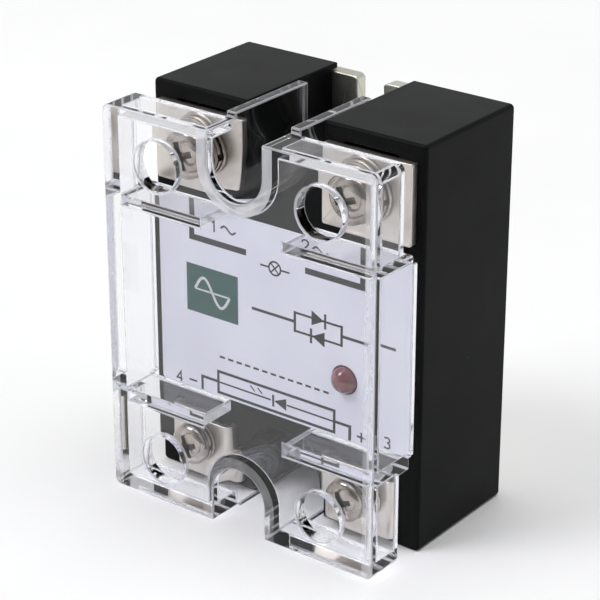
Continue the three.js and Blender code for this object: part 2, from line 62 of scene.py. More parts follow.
class Nodes:
    """A material's node tree, with short calls for the nodes that the looks below use."""

    def __init__(self, name):
        self.material = bpy.data.materials.new(name)
        self.material.use_nodes = True
        self.tree = self.material.node_tree
        self.shader = self.tree.nodes["Principled BSDF"]
        self.output = self.tree.nodes["Material Output"]
        self.place = self.new("ShaderNodeTexCoord").outputs["Object"]

    def new(self, kind, **properties):
        node = self.tree.nodes.new(kind)
        for key, value in properties.items():
            setattr(node, key, value)
        return node

    def link(self, source, target):
        self.tree.links.new(source, target)

    def feed(self, value, socket):
        """Sets a socket to a number or a colour, or links another node's output to it."""
        if isinstance(value, (int, float)):
            socket.default_value = value
        elif isinstance(value, tuple):
            socket.default_value = (*value, 1)
        else:
            self.link(value, socket)

    def stretched(self, scale):
        """The object's coordinates, scaled by a different amount along each axis."""
        mapping = self.new("ShaderNodeMapping")
        mapping.inputs["Scale"].default_value = scale
        self.link(self.place, mapping.inputs["Vector"])
        return mapping.outputs["Vector"]

    def noise(self, size_mm, detail=3.0, place=None):
        """Noise whose lumps are about size_mm across, from 0 to 1."""
        node = self.new("ShaderNodeTexNoise")
        node.inputs["Scale"].default_value = 1.0 / (size_mm * MM)
        node.inputs["Detail"].default_value = detail
        self.link(place or self.place, node.inputs["Vector"])
        return node.outputs["Fac"]

    def ramp(self, factor, stops):
        """Colours at positions along factor. A stop's value is a grey number or a colour."""
        node = self.new("ShaderNodeValToRGB")
        elements = node.color_ramp.elements
        while len(elements) < len(stops):
            elements.new(0.5)
        for element, (position, value) in zip(elements, stops):
            element.position = position
            element.color = (*value, 1) if isinstance(value, tuple) else (value, value, value, 1)
        self.link(factor, node.inputs["Fac"])
        return node.outputs["Color"]

    def range(self, factor, low, high):
        """A number that goes from low to high as factor goes from 0 to 1."""
        node = self.new("ShaderNodeMapRange")
        node.inputs["To Min"].default_value = low
        node.inputs["To Max"].default_value = high
        self.link(factor, node.inputs["Value"])
        return node.outputs["Result"]

    def mixed(self, factor, first, second):
        """A colour that goes from first to second as factor goes from 0 to 1."""
        node = self.new("ShaderNodeMix", data_type="RGBA")
        for index, value in ((MIX_FACTOR, factor), (MIX_FIRST, first), (MIX_SECOND, second)):
            self.feed(value, node.inputs[index])
        return node.outputs[MIX_RESULT]

    def math(self, operation, first, second):
        node = self.new("ShaderNodeMath", operation=operation)
        for socket, value in zip(node.inputs, (first, second)):
            self.feed(value, socket)
        return node.outputs["Value"]

    def bump(self, height, depth_mm, strength):
        """A normal that follows a height from 0 to depth_mm."""
        node = self.new("ShaderNodeBump")
        node.inputs["Strength"].default_value = strength
        node.inputs["Distance"].default_value = depth_mm * MM
        self.link(height, node.inputs["Height"])
        return node.outputs["Normal"]

    def drive(self, **sockets):
        """Links or sets the shader's sockets. An underscore in a name stands for a space."""
        for name, value in sockets.items():
            self.feed(value, self.shader.inputs[name.replace("_", " ")])
        return self.material


# ---------------------------------------------------------------- materials

def housing_plastic():
    """Black moulded plastic: fine spark-eroded grain, faint clouding and a few specks of dust."""
    n = Nodes("housing_plastic")
    cloud = n.noise(9)
    tone = n.ramp(cloud, [(0.3, (0.0042, 0.0045, 0.0048)), (0.7, (0.0075, 0.0080, 0.0078))])
    spots = n.new("ShaderNodeTexVoronoi", feature="F1")
    spots.inputs["Scale"].default_value = 1 / (3.4 * MM)
    n.link(n.place, spots.inputs["Vector"])
    dust = n.ramp(spots.outputs["Distance"], [(0.0, 1.0), (0.028, 0.9), (0.045, 0.0), (1.0, 0.0)])
    rare = n.ramp(n.noise(2.6, 0.0), [(0.0, 0.0), (0.64, 0.0), (0.67, 0.10), (1.0, 0.2)])
    amount = n.math("MULTIPLY", dust, rare)
    colour = n.mixed(amount, tone, (0.30, 0.30, 0.30))
    grain = n.noise(0.11, 2.0)
    roughness = n.range(n.noise(5, 4.0), 0.30, 0.42)
    return n.drive(Base_Color=colour, Roughness=roughness, Specular_IOR_Level=0.05,
                   Normal=n.bump(grain, 0.012, 0.45))


def base_metal():
    """Nickel-plated sheet, rolled along its height, with faint tarnish."""
    n = Nodes("base_metal")
    grain = n.noise(0.5, 4.0, n.stretched((1.0, 1.0, 0.05)))
    tarnish = n.noise(6, 3.0)
    colour = n.ramp(tarnish, [(0.3, (0.58, 0.57, 0.49)), (0.7, (0.70, 0.70, 0.62))])
    return n.drive(Base_Color=colour, Metallic=1.0, Roughness=n.range(grain, 0.30, 0.50),
                   Normal=n.bump(grain, 0.01, 0.35))


# Where the cover's material changes, in mm. The front face lies before COVER_FRONT, the panel's
# back before PANEL_BACK, and the side walls beyond SIDE_WALL on either side.
COVER_FRONT = -15.85
PANEL_BACK = -13.8
SIDE_WALL = 20.85
SHELF_END = (6.85, 6.95)
SHELVES = ((13.8, 15.6), (43.3, 44.6))
# The troughs' middle lines, the radii of their rims, and a height between the two of them.
UPPER_TROUGH, LOWER_TROUGH = 53.2, 5.3
TROUGH_RIM = (4.3, 6.2)
MIDWAY = 24


def between(n, value, limits_mm):
    """1 where a length lies between two limits, and 0 elsewhere."""
    above = n.math("GREATER_THAN", value, limits_mm[0] * MM)
    return n.math("MULTIPLY", above, n.math("LESS_THAN", value, limits_mm[1] * MM))


def trough_rim(n, place, middle_z, side):
    """1 on the cover's front face where a trough's wall meets it, and 0 elsewhere.

    The trough is round below a line at height middle_z (mm), and straight above it. The lower
    trough is the other way up: its side is -1."""
    rise = n.math("MULTIPLY", n.math("SUBTRACT", place.outputs["Z"], middle_z * MM), -side)
    lengths = (place.outputs["X"], n.math("MAXIMUM", rise, 0.0))
    squares = [n.math("POWER", length, 2.0) for length in lengths]
    distance = n.math("POWER", n.math("ADD", *squares), 0.5)
    height = n.math("MULTIPLY", place.outputs["Z"], side)
    own_half = n.math("GREATER_THAN", height, MIDWAY * side * MM)
    front = n.math("LESS_THAN", place.outputs["Y"], COVER_FRONT * MM)
    return n.math("MULTIPLY", between(n, distance, TROUGH_RIM), n.math("MULTIPLY", own_half, front))


def wall_rim(n, place):
    """1 on the cover's front face where its side walls meet it, and 0 elsewhere."""
    reach = n.math("ABSOLUTE", place.outputs["X"], 0.0)
    outer = n.math("GREATER_THAN", reach, SIDE_WALL * MM)
    return n.math("MULTIPLY", outer, n.math("LESS_THAN", place.outputs["Y"], COVER_FRONT * MM))


def shelf_ends(n, place):
    """1 on the small end faces of the cover's four shelves, and 0 elsewhere."""
    end = between(n, n.math("ABSOLUTE", place.outputs["X"], 0.0), SHELF_END)
    behind_panel = n.math("GREATER_THAN", place.outputs["Y"], PANEL_BACK * MM)
    levels = [between(n, place.outputs["Z"], limits) for limits in SHELVES]
    return n.math("MULTIPLY", n.math("MULTIPLY", end, behind_panel), n.math("ADD", *levels))


COVER_IOR = 1.42
COVER_TINT = (0.90, 0.90, 0.92)


def let_lamps_through(n):
    """Lamps shine through the plastic, so that it throws no dark shadow."""
    path = n.new("ShaderNodeLightPath")
    through = n.new("ShaderNodeBsdfTransparent")
    n.feed(COVER_TINT, through.inputs["Color"])
    mix = n.new("ShaderNodeMixShader")
    n.link(path.outputs["Is Shadow Ray"], mix.inputs["Fac"])
    n.link(n.shader.outputs["BSDF"], mix.inputs[1])
    n.link(through.outputs["BSDF"], mix.inputs[2])
    n.link(mix.outputs["Shader"], n.output.inputs["Surface"])


def cover_plastic():
    """Clear moulded acrylic, hardly tinted, with faint flow marks. Painted light makes it milky and
    brighter at its walls' ends.
    """
    n = Nodes("cover_plastic")
    flow = n.noise(7, 2.0, n.stretched((1.0, 1.0, 0.35)))
    haze = n.noise(0.9, 3.0)
    clear = n.ramp(flow, [(0.3, (0.955, 0.956, 0.972)), (0.7, (0.978, 0.980, 0.988))])
    streaks = n.noise(1.6, 3.0, n.stretched((1.0, 1.0, 0.5)))
    place = n.new("ShaderNodeSeparateXYZ")
    n.link(n.place, place.inputs["Vector"])
    upper_rim = trough_rim(n, place, UPPER_TROUGH, 1)
    # painted light: the trough rims, the side walls' front ends and the shelf ends are made whiter and
    # less clear, standing in for light carried along the walls and for highlights
    painted_light = n.math("MULTIPLY", upper_rim, n.range(streaks, 0.55, 0.95))
    for mask, low, high in (
        (trough_rim(n, place, LOWER_TROUGH, -1), 0.05, 0.45),
        (wall_rim(n, place), 0.20, 0.55),
        (shelf_ends(n, place), 0.35, 0.75),
    ):
        painted_light = n.math("ADD", painted_light, n.math("MULTIPLY", mask, n.range(streaks, low, high)))
    colour = n.mixed(painted_light, clear, (0.86, 0.86, 0.92))
    roughness = n.math("ADD", n.range(haze, 0.0, 0.015), n.math("MULTIPLY", painted_light, 0.2))
    n.drive(Base_Color=colour, Transmission_Weight=n.range(painted_light, 1.0, 0.30), IOR=COVER_IOR,
            Roughness=roughness, Normal=n.bump(flow, 0.03, 0.2))
    let_lamps_through(n)
    return n.material


def cover_edge():
    """The cover's rounded edges, which scatter light and look milky."""
    n = Nodes("cover_edge")
    flow = n.noise(1.4, 3.0)
    colour = n.ramp(flow, [(0.3, (0.86, 0.86, 0.93)), (0.7, (0.93, 0.93, 0.97))])
    n.drive(Base_Color=colour, Transmission_Weight=0.62, IOR=COVER_IOR,
            Roughness=n.range(flow, 0.10, 0.25), Normal=n.bump(flow, 0.01, 0.3))
    let_lamps_through(n)
    return n.material


def label_film():
    """Pale lavender-white printed film, matt, with a soft paper tooth."""
    n = Nodes("label_film")
    tooth = n.noise(0.35, 4.0)
    stain = n.noise(12, 2.0)
    colour = n.ramp(stain, [(0.3, (0.780, 0.785, 0.900)), (0.7, (0.840, 0.845, 0.940))])
    return n.drive(Base_Color=colour, Roughness=n.range(tooth, 0.42, 0.60), Specular_IOR_Level=0.4,
                   Normal=n.bump(tooth, 0.008, 0.3))


def ink(name, first, second):
    """Screen-printed ink, a little uneven."""
    n = Nodes(name)
    blotch = n.noise(0.5, 4.0)
    colour = n.ramp(blotch, [(0.35, first), (0.65, second)])
    return n.drive(Base_Color=colour, Roughness=n.range(blotch, 0.35, 0.5),
                   Normal=n.bump(blotch, 0.004, 0.3))


def light_lens():
    """Unlit dark red lens, glossy and a little uneven in colour."""
    n = Nodes("light_lens")
    swirl = n.noise(1.2, 3.0)
    colour = n.ramp(swirl, [(0.35, (0.105, 0.010, 0.018)), (0.65, (0.190, 0.022, 0.034))])
    return n.drive(Base_Color=colour, Roughness=n.range(swirl, 0.08, 0.16), Coat_Weight=1.0,
                   Coat_Roughness=0.03, Subsurface_Weight=0.15, Normal=n.bump(swirl, 0.01, 0.15))


def nickel(name, low, high, roughness, stretch=(1.0, 1.0, 1.0), depth=0.35, shade_mm=0.0):
    """Nickel plating: slightly warm, with fine scratches and uneven gloss.

    Painted shade: the colour darkens to a dark brown in corners narrower than the given width in mm."""
    n = Nodes(name)
    scratches = n.noise(0.25, 5.0, n.stretched(stretch))
    patches = n.noise(2.2, 3.0)
    colour = n.ramp(patches, [(0.3, low), (0.7, high)])
    if shade_mm:
        # painted shade: ambient occlusion darkens the colour to dark brown in narrow corners and gaps
        corners = n.new("ShaderNodeAmbientOcclusion", samples=8)
        corners.inputs["Distance"].default_value = shade_mm * MM
        unshaded_share = n.ramp(corners.outputs["AO"], [(0.25, 0.0), (0.85, 1.0)])
        colour = n.mixed(unshaded_share, (0.050, 0.034, 0.026), colour)
    gloss = n.math("ADD", n.range(scratches, *roughness), n.range(patches, -0.03, 0.05))
    return n.drive(Base_Color=colour, Metallic=1.0, Roughness=gloss,
                   Normal=n.bump(scratches, 0.006, depth))


def grained(name, first, second, roughness, size_mm=0.6, metallic=0.0):
    """A plain finish for a hidden piece: two tones mixed by noise, uneven gloss and a fine bump."""
    n = Nodes(name)
    grain = n.noise(size_mm, 4.0)
    colour = n.ramp(grain, [(0.35, first), (0.65, second)])
    return n.drive(Base_Color=colour, Metallic=metallic, Roughness=n.range(grain, *roughness),
                   Normal=n.bump(grain, 0.01, 0.4))


def circuit_board():
    """Green solder mask with paler tracks in rows, as on a single-sided board."""
    n = Nodes("circuit_board")
    wave = n.new("ShaderNodeTexWave", wave_type="BANDS", bands_direction="X")
    wave.inputs["Scale"].default_value = 1 / (9 * MM)
    wave.inputs["Distortion"].default_value = 2.5
    wave.inputs["Detail Scale"].default_value = 0.6
    n.link(n.place, wave.inputs["Vector"])
    tracks = n.ramp(wave.outputs["Fac"], [(0.62, 0.0), (0.66, 1.0)])
    colour = n.mixed(tracks, (0.018, 0.110, 0.050), (0.045, 0.190, 0.085))
    weave = n.noise(0.3, 2.0)
    return n.drive(Base_Color=colour, Roughness=n.range(weave, 0.28, 0.42),
                   Normal=n.bump(tracks, 0.03, 0.6))


LOOKS = {
    "housing_plastic": housing_plastic(),
    "base_metal": base_metal(),
    "cover_plastic": cover_plastic(),
    "cover_edge": cover_edge(),
    "label_film": label_film(),
    "ink_black": ink("ink_black", (0.004, 0.004, 0.006), (0.009, 0.009, 0.012)),
    "ink_green": ink("ink_green", (0.004, 0.066, 0.060), (0.007, 0.082, 0.072)),
    "ink_white": ink("ink_white", (0.62, 0.66, 0.66), (0.72, 0.76, 0.76)),
    "light_lens": light_lens(),
    "pad_nickel": nickel("pad_nickel", (0.66, 0.61, 0.56), (0.74, 0.70, 0.65), (0.26, 0.40),
                         stretch=(1.0, 1.0, 0.12)),
    # the screws and washers get painted shade in their narrow corners and gaps
    "screw_nickel": nickel("screw_nickel", (0.30, 0.255, 0.215), (0.50, 0.46, 0.42), (0.05, 0.14),
                           depth=0.2, shade_mm=1.1),
    # painted shade: a dark nickel for the walls of the screws' cross recesses
    "recess_shade_nickel": nickel("recess_shade_nickel", (0.055, 0.043, 0.034), (0.15, 0.12, 0.10), (0.12, 0.24),
                            depth=0.3),
    "washer_nickel": nickel("washer_nickel", (0.42, 0.36, 0.31), (0.58, 0.54, 0.49), (0.12, 0.24),
                            shade_mm=0.9),
    "copper": grained("copper", (0.60, 0.30, 0.18), (0.74, 0.42, 0.28), (0.25, 0.42), metallic=1.0),
    "ceramic": grained("ceramic", (0.80, 0.79, 0.75), (0.87, 0.86, 0.83), (0.45, 0.6), size_mm=0.2),
    "silicon": grained("silicon", (0.20, 0.21, 0.24), (0.32, 0.33, 0.37),
                       (0.12, 0.25), metallic=0.9),
    "circuit_board": circuit_board(),
    "black_epoxy": grained("black_epoxy", (0.010, 0.010, 0.011), (0.022, 0.022, 0.023),
                           (0.5, 0.7), size_mm=0.15),
    "resistor_body": grained("resistor_body", (0.50, 0.38, 0.22), (0.60, 0.48, 0.30), (0.4, 0.6)),
    "capacitor_box": grained("capacitor_box", (0.34, 0.035, 0.025), (0.42, 0.055, 0.040),
                             (0.3, 0.45)),
    "varistor_coat": grained("varistor_coat", (0.020, 0.075, 0.230), (0.035, 0.110, 0.300),
                             (0.25, 0.4), size_mm=1.2),
    "can_sleeve": grained("can_sleeve", (0.012, 0.015, 0.040), (0.022, 0.026, 0.060), (0.25, 0.4)),
    "potting": grained("potting", (0.028, 0.029, 0.030), (0.045, 0.046, 0.048),
                       (0.35, 0.6), size_mm=3.0),
}


# ---------------------------------------------------------------- mesh helpers

def add_object(name, mesh, look):
    mesh.materials.clear()
    mesh.materials.append(LOOKS[look])
    piece = bpy.data.objects.new(name, mesh)
    bpy.context.scene.collection.objects.link(piece)
    return piece


def made(name, mesh, look):
    """An object from a finished bmesh, whose faces are turned outwards first."""
    bmesh.ops.recalc_face_normals(mesh, faces=mesh.faces)
    return plain(name, mesh, look)


def plain(name, mesh, look):
    """An object from a finished bmesh, as it is."""
    data = bpy.data.meshes.new(name)
    mesh.to_mesh(data)
    mesh.free()
    return add_object(name, data, look)


def applied(piece):
    """Applies every modifier, so that the piece's own mesh is the final one."""
    graph = bpy.context.evaluated_depsgraph_get()
    mesh = bpy.data.meshes.new_from_object(piece.evaluated_get(graph))
    piece.modifiers.clear()
    piece.data = mesh
    return piece


def even_normals(piece, sharp_degrees=50):
    """Smooth shading in which the large flat faces stay flat, and sharper edges stay crisp."""
    piece.data.shade_smooth()
    mesh = bmesh.new()
    mesh.from_mesh(piece.data)
    limit = math.radians(sharp_degrees)
    for edge in mesh.edges:
        edge.smooth = len(edge.link_faces) == 2 and edge.calc_face_angle(0) < limit
    mesh.to_mesh(piece.data)
    mesh.free()
    weighted = piece.modifiers.new("even", "WEIGHTED_NORMAL")
    weighted.keep_sharp = True
    weighted.weight = 100
    return applied(piece)


def rides(piece, body, slot, *nodes):
    """The piece moves with a body and stands for CAD nodes, which it hides. slot is not used."""
    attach(piece, body)
    if nodes:
        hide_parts(*nodes)
    return piece


def runs_along_y(edge):
    direction = (edge.verts[1].co - edge.verts[0].co).normalized()
    return abs(direction.y) > 0.999


TERMINALS = ("output_terminal_1", "output_terminal_2", "input_terminal_3", "input_terminal_4")


def is_behind_terminal(edge):
    """An edge of a nut pocket or leg slot, all of which lie behind a terminal."""
    margin = 0.45 * MM
    for node in TERMINALS:
        low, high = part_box(node)
        xs = [v.co.x for v in edge.verts]
        zs = [v.co.z for v in edge.verts]
        beside = min(xs) > low.x - margin and max(xs) < high.x + margin
        if beside and min(zs) > low.z - margin and max(zs) < high.z + margin:
            return True
    return False


def is_shallow(face):
    """A wall of a step that is too low to be rounded, such as a spot face's rim."""
    depths = [v.co.y for v in face.verts]
    return abs(face.normal.y) < 0.5 and max(depths) - min(depths) < 0.2 * MM


SHARP = math.radians(32)


def cleaned(data):
    """A bmesh of a mesh, without double points and without edges inside its flat faces."""
    mesh = bmesh.new()
    mesh.from_mesh(data)
    bmesh.ops.remove_doubles(mesh, verts=mesh.verts, dist=2e-6)
    flat = math.radians(0.6)
    bmesh.ops.dissolve_limit(mesh, angle_limit=flat, verts=mesh.verts, edges=mesh.edges)
    return mesh


def softened(node, name, look, width_mm, first=None, left=None, edge_look=None):
    """A CAD node's own mesh with its edges rounded, apart from those that pass the test left.

    first is (test, width in mm, segments): the edges that pass the test are rounded before the
    others, by that width. edge_look is a second finish, for the rounded edges."""
    mesh = cleaned(frame["nodes"][node].data)
    if first:
        test, width, steps = first
        chosen = [e for e in mesh.edges if e.calc_face_angle(0) > SHARP and test(e)]
        bmesh.ops.bevel(mesh, geom=chosen, offset=width * MM, segments=steps, profile=0.5,
                        affect="EDGES", clamp_overlap=False)
    weight = mesh.edges.layers.float.new("bevel_weight_edge")
    mesh.normal_update()
    for edge in mesh.edges:
        sharp = edge.calc_face_angle(0) > SHARP and not (left and left(edge))
        edge[weight] = 1.0 if sharp and not any(is_shallow(f) for f in edge.link_faces) else 0.0
    return rounded(plain(name, mesh, look), width_mm, edge_look)


def rounded(piece, width_mm, edge_look=None):
    """Rounds the edges that carry a bevel weight."""
    bevel = piece.modifiers.new("rounding", "BEVEL")
    bevel.width = width_mm * MM
    bevel.segments = 3
    bevel.limit_method = "WEIGHT"
    bevel.use_clamp_overlap = False
    if edge_look:
        piece.data.materials.append(LOOKS[edge_look])
        bevel.material = 1
    return even_normals(applied(piece))


def grid_surface(name, rings, look, closed=False):
    """A surface through rings of points, whose first and last rings are single points.

    Where closed, the last ring joins the first one instead."""
    mesh = bmesh.new()
    rows = [[mesh.verts.new(p) for p in ring] for ring in rings]
    pairs = list(zip(rows, rows[1:]))
    if closed:
        pairs.append((rows[-1], rows[0]))
    for row, other in pairs:
        count = max(len(row), len(other))
        for k in range(count):
            j = (k + 1) % count
            if len(row) == 1:
                mesh.faces.new((row[0], other[k], other[j]))
            elif len(other) == 1:
                mesh.faces.new((row[k], other[0], row[j]))
            else:
                mesh.faces.new((row[k], other[k], other[j], row[j]))
    return made(name, mesh, look)


def middle_line(node):
    """The x and z of the line along Y through the middle of a node."""
    low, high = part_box(node)
    return ((low.x + high.x) / 2, (low.z + high.z) / 2)


def around(centre, radius, angle, y):
    """A point at an angle round a line along Y."""
    return Vector((centre[0] + radius * math.cos(angle), y, centre[1] + radius * math.sin(angle)))


def circle_ring(centre, radius, y, count):
    """Points round a line along Y."""
    return [around(centre, radius, 2 * math.pi * k / count, y) for k in range(count)]


def point_ring(centre, y):
    """The single point that closes a turned surface."""
    return [Vector((centre[0], y, centre[1]))]


# ---------------------------------------------------------------- housing, base plate, cover

def front_rim(edge):
    """The edges round the outline of the housing's front face, the notches included."""
    low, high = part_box("housing")
    at_front = max(v.co.y for v in edge.verts) < low.y + 0.05 * MM
    depths = [v.co.y for face in edge.link_faces for v in face.verts]
    return at_front and max(depths) > high.y - 4 * MM


def slot_mouth(edge):
    """The base plate's four corners at the mouth of its slot."""
    low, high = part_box("base_plate")
    near_top = min(v.co.z for v in edge.verts) > high.z - 0.1 * MM
    return runs_along_y(edge) and near_top and abs(edge.verts[0].co.x) < 3 * MM


housing = softened("housing", "housing_moulding", "housing_plastic", 0.2,
                   first=(front_rim, 0.45, 5), left=is_behind_terminal)
rides(housing, "relay", "housing_plastic", "housing")

plate = softened("base_plate", "base_plate_sheet", "base_metal", 0.2, first=(slot_mouth, 0.9, 5))
rides(plate, "relay", "base_metal", "base_plate")

cover = softened("clear_cover", "clear_cover_moulding", "cover_plastic", 0.26,
                 edge_look="cover_edge")
rides(cover, "cover", "cover_plastic", "clear_cover")


# ---------------------------------------------------------------- terminals

def rectangle(low, high):
    """The corners of a rectangle, in order, from two opposite ones."""
    return [(low[0], low[1]), (high[0], low[1]), (high[0], high[1]), (low[0], high[1])]


def rounded_rectangle(low, high, radius, steps):
    """Points round a rectangle between two corners, with that many steps in each rounded corner."""
    points = []
    corners = (
        (high[0] - radius, low[1] + radius, -90),
        (high[0] - radius, high[1] - radius, 0),
        (low[0] + radius, high[1] - radius, 90),
        (low[0] + radius, low[1] + radius, 180),
    )
    for a, b, start in corners:
        for step in range(steps + 1):
            angle = math.radians(start + 90 * step / steps)
            points.append((a + radius * math.cos(angle), b + radius * math.sin(angle)))
    return points


def close_prism(mesh, near, far):
    """The faces of a closed solid between two outlines with equally many points."""
    mesh.faces.new(near)
    mesh.faces.new(reversed(far))
    for k in range(len(near)):
        j = (k + 1) % len(near)
        mesh.faces.new((near[k], far[k], far[j], near[j]))


def prism(name, outline, axis, span):
    """A closed nickel prism over an outline in the two axes other than the given one."""
    mesh = bmesh.new()
    ends = []
    for level in span:
        points = []
        for a, b in outline:
            coordinates = [a, b]
            coordinates.insert(axis, level)
            points.append(mesh.verts.new(Vector(coordinates)))
        ends.append(points)
    close_prism(mesh, *ends)
    return made(name, mesh, "pad_nickel")


def weigh_edges(piece):
    """Gives a bevel weight to every sharp edge."""
    mesh = cleaned(piece.data)
    weight = mesh.edges.layers.float.new("bevel_weight_edge")
    for edge in mesh.edges:
        edge[weight] = 1.0 if edge.calc_face_angle(0) > SHARP else 0.0
    mesh.to_mesh(piece.data)
    mesh.free()
    return piece


def combine(piece, other, operation):
    """Joins or cuts one closed mesh with another."""
    boolean = piece.modifiers.new("boolean", "BOOLEAN")
    boolean.operation = operation
    boolean.solver = "EXACT"
    boolean.object = other
    applied(piece)
    bpy.data.objects.remove(other)
    return piece


def bore(number, radius, span):
    """A round punch along a screw's line."""
    circle = circle_ring(middle_line(f"terminal_screw_{number}"), radius, 0, 48)
    return prism("punch", [(point.x, point.z) for point in circle], 1, span)


def output_pad(number):
    """A thick blanked pad with its screw hole, and the leg that goes back into the housing."""
    node = f"output_terminal_{number}"
    low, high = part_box(node)
    thickness = 1.2 * MM
    hole_radius = 2.3 * MM
    outline = rounded_rectangle((low.x, low.z), (high.x, high.z), 0.35 * MM, 6)
    pad = prism(f"output_pad_{number}", outline, 1, (low.y, low.y + thickness))
    leg_sides = sorted(math.copysign(x * MM, low.x) for x in (10, 18))
    leg_bottom, leg_top = high.z - 1.6 * MM, high.z - 0.4 * MM
    leg_outline = rectangle((low.y + 0.5 * thickness, leg_bottom), (high.y, leg_top))
    combine(pad, prism("leg", leg_outline, 0, leg_sides), "UNION")
    combine(pad, bore(number, hole_radius, (low.y - MM, low.y + 3 * MM)), "DIFFERENCE")
    rounded(weigh_edges(pad), 0.14)
    return rides(pad, "relay", "nickel_plate", node)


def bend_points(middle, radius, side):
    """A quarter turn in the (x, y) plane, from a bridge's side to its face."""
    points = []
    for step in range(7):
        a = math.radians(90 * step / 6)
        points.append((middle[0] - side * radius * math.cos(a), middle[1] - radius * math.sin(a)))
    return points


def input_bridge(number):
    """A bent sheet: its face carries the screw, and both of its sides are turned back."""
    node = f"input_terminal_{number}"
    low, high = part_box(node)
    sheet, bend = 0.8 * MM, 1.1 * MM
    hole_radius = 1.8 * MM
    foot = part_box("housing")[0].y - 0.05 * MM
    section = []
    # round the outside from left to right, and then round the inside from right to left
    for reach, order in ((0, 1), (sheet, -1)):
        for x, side in ((low.x + reach, 1), (high.x - reach, -1))[::order]:
            radius = bend - reach
            arc = bend_points((x + side * radius, low.y + bend), radius, side)
            stretch = [(x, foot)] + arc if side == 1 else arc[::-1] + [(x, foot)]
            section += stretch[::order]
    bridge = prism(f"input_bridge_{number}", section, 2, (low.z, high.z))
    outer_x = high.x if low.x > 0 else low.x
    leg_sides = sorted((outer_x, outer_x - math.copysign(sheet, outer_x)))
    leg_outline = rectangle((foot - 0.4 * MM, low.z + 5.6 * MM), (high.y, high.z - 0.6 * MM))
    combine(bridge, prism("leg", leg_outline, 0, leg_sides), "UNION")
    combine(bridge, bore(number, hole_radius, (low.y - MM, low.y + 2 * MM)), "DIFFERENCE")
    rounded(weigh_edges(bridge), 0.12)
    return rides(bridge, "relay", "nickel_plate", node)


for number in (1, 2):
    output_pad(number)
for number in (3, 4):
    input_bridge(number)


# ---------------------------------------------------------------- screws and washers

SCREW_STEPS = 48
# Head height, thread radius, thread pitch and the washers' inner radius, in mm.
M4 = {"head": 2.0, "thread": 1.93, "pitch": 0.7, "bore": 2.15}
M3 = {"head": 1.6, "thread": 1.43, "pitch": 0.5, "bore": 1.65}
SIZES = {1: M4, 2: M4, 3: M3, 4: M3}
RECESS_TURN = 0.35
DOME_STEPS = 12
# The flat middle of a screw's dome, as a share of the head's radius.
FLAT = 0.12


def recess_punches(centre, front, radius, depth):
    """The punches of a cross recess: two tapered blades and the cone between them."""
    punches = []
    top = front - 0.3 * MM
    bottom = front + depth
    for turn in (RECESS_TURN, RECESS_TURN + math.pi / 2):
        mesh = bmesh.new()
        along = Vector((math.cos(turn), 0, math.sin(turn)))
        across = Vector((-math.sin(turn), 0, math.cos(turn)))
        ends = []
        for y, reach, half in ((top, 1.16, 0.24), (bottom, 0.40, 0.15)):
            middle = Vector((centre[0], y, centre[1]))
            corners = rectangle((-reach * radius, -half * radius), (reach * radius, half * radius))
            ends.append([mesh.verts.new(middle + along * s + across * t) for s, t in corners])
        close_prism(mesh, *ends)
        punches.append(made("punch", mesh, "screw_nickel"))
    profile = ((0.44 * radius, top), (0.40 * radius, front + 0.1 * depth), (0.22 * radius, bottom))
    rings = [circle_ring(centre, reach, y, 24) for reach, y in profile]
    rings = [point_ring(centre, top)] + rings + [point_ring(centre, front + 1.18 * depth)]
    punches.append(grid_surface("cone", rings, "screw_nickel"))
    return punches


def head_profile(front, radius, height):
    """The dome of a pan head, as (radius, y) pairs from its middle to its side."""
    profile = [(FLAT * radius, front)]
    for k in range(1, DOME_STEPS + 1):
        a = (k / DOME_STEPS) * (math.pi / 2)
        reach = radius * (FLAT + (1 - FLAT) * math.sin(a) ** 0.92)
        profile.append((reach, front + 0.66 * height * (1 - math.cos(a) ** 0.85)))
    return profile


def thread_rings(centre, start, tip, minor, major, pitch):
    """Rings of a rolled thread, which fades in below the head and out at the tip."""
    step = pitch / 6
    rings = []
    for row in range(int((tip - 0.15 * MM - start) / step) + 1):
        y = start + row * step
        fade = min(1.0, (y - start) / (1.2 * pitch), (tip - y) / (0.9 * pitch) + 0.05)
        ring = []
        for k in range(SCREW_STEPS):
            phase = (y / pitch + k / SCREW_STEPS) % 1.0
            crest = max(0.0, min(1.0, 2.6 * (0.5 - abs(phase - 0.5)) - 0.12))
            radius = minor + (major - minor) * crest * max(0.0, fade)
            ring.append(around(centre, radius, 2 * math.pi * k / SCREW_STEPS, y))
        rings.append(ring)
    return rings


def paint_recess_shade(screw, centre, dome, seat):
    """Paints shade into the cross recess: the faces that lie below the surface of the dome get the
    second, darker finish.
    """
    head_radius = dome[-1][0]
    for look in ("screw_nickel", "recess_shade_nickel"):
        screw.data.materials.append(LOOKS[look])
    for face in screw.data.polygons:
        reach = math.hypot(face.center.x - centre[0], face.center.z - centre[1])
        limit = max(reach, dome[0][0]) + 0.05 * head_radius
        surface = max(y for radius, y in dome if radius <= limit)
        inside = reach < 0.8 * head_radius and surface + 0.05 * MM < face.center.y < seat
        face.material_index = 1 if inside else 0


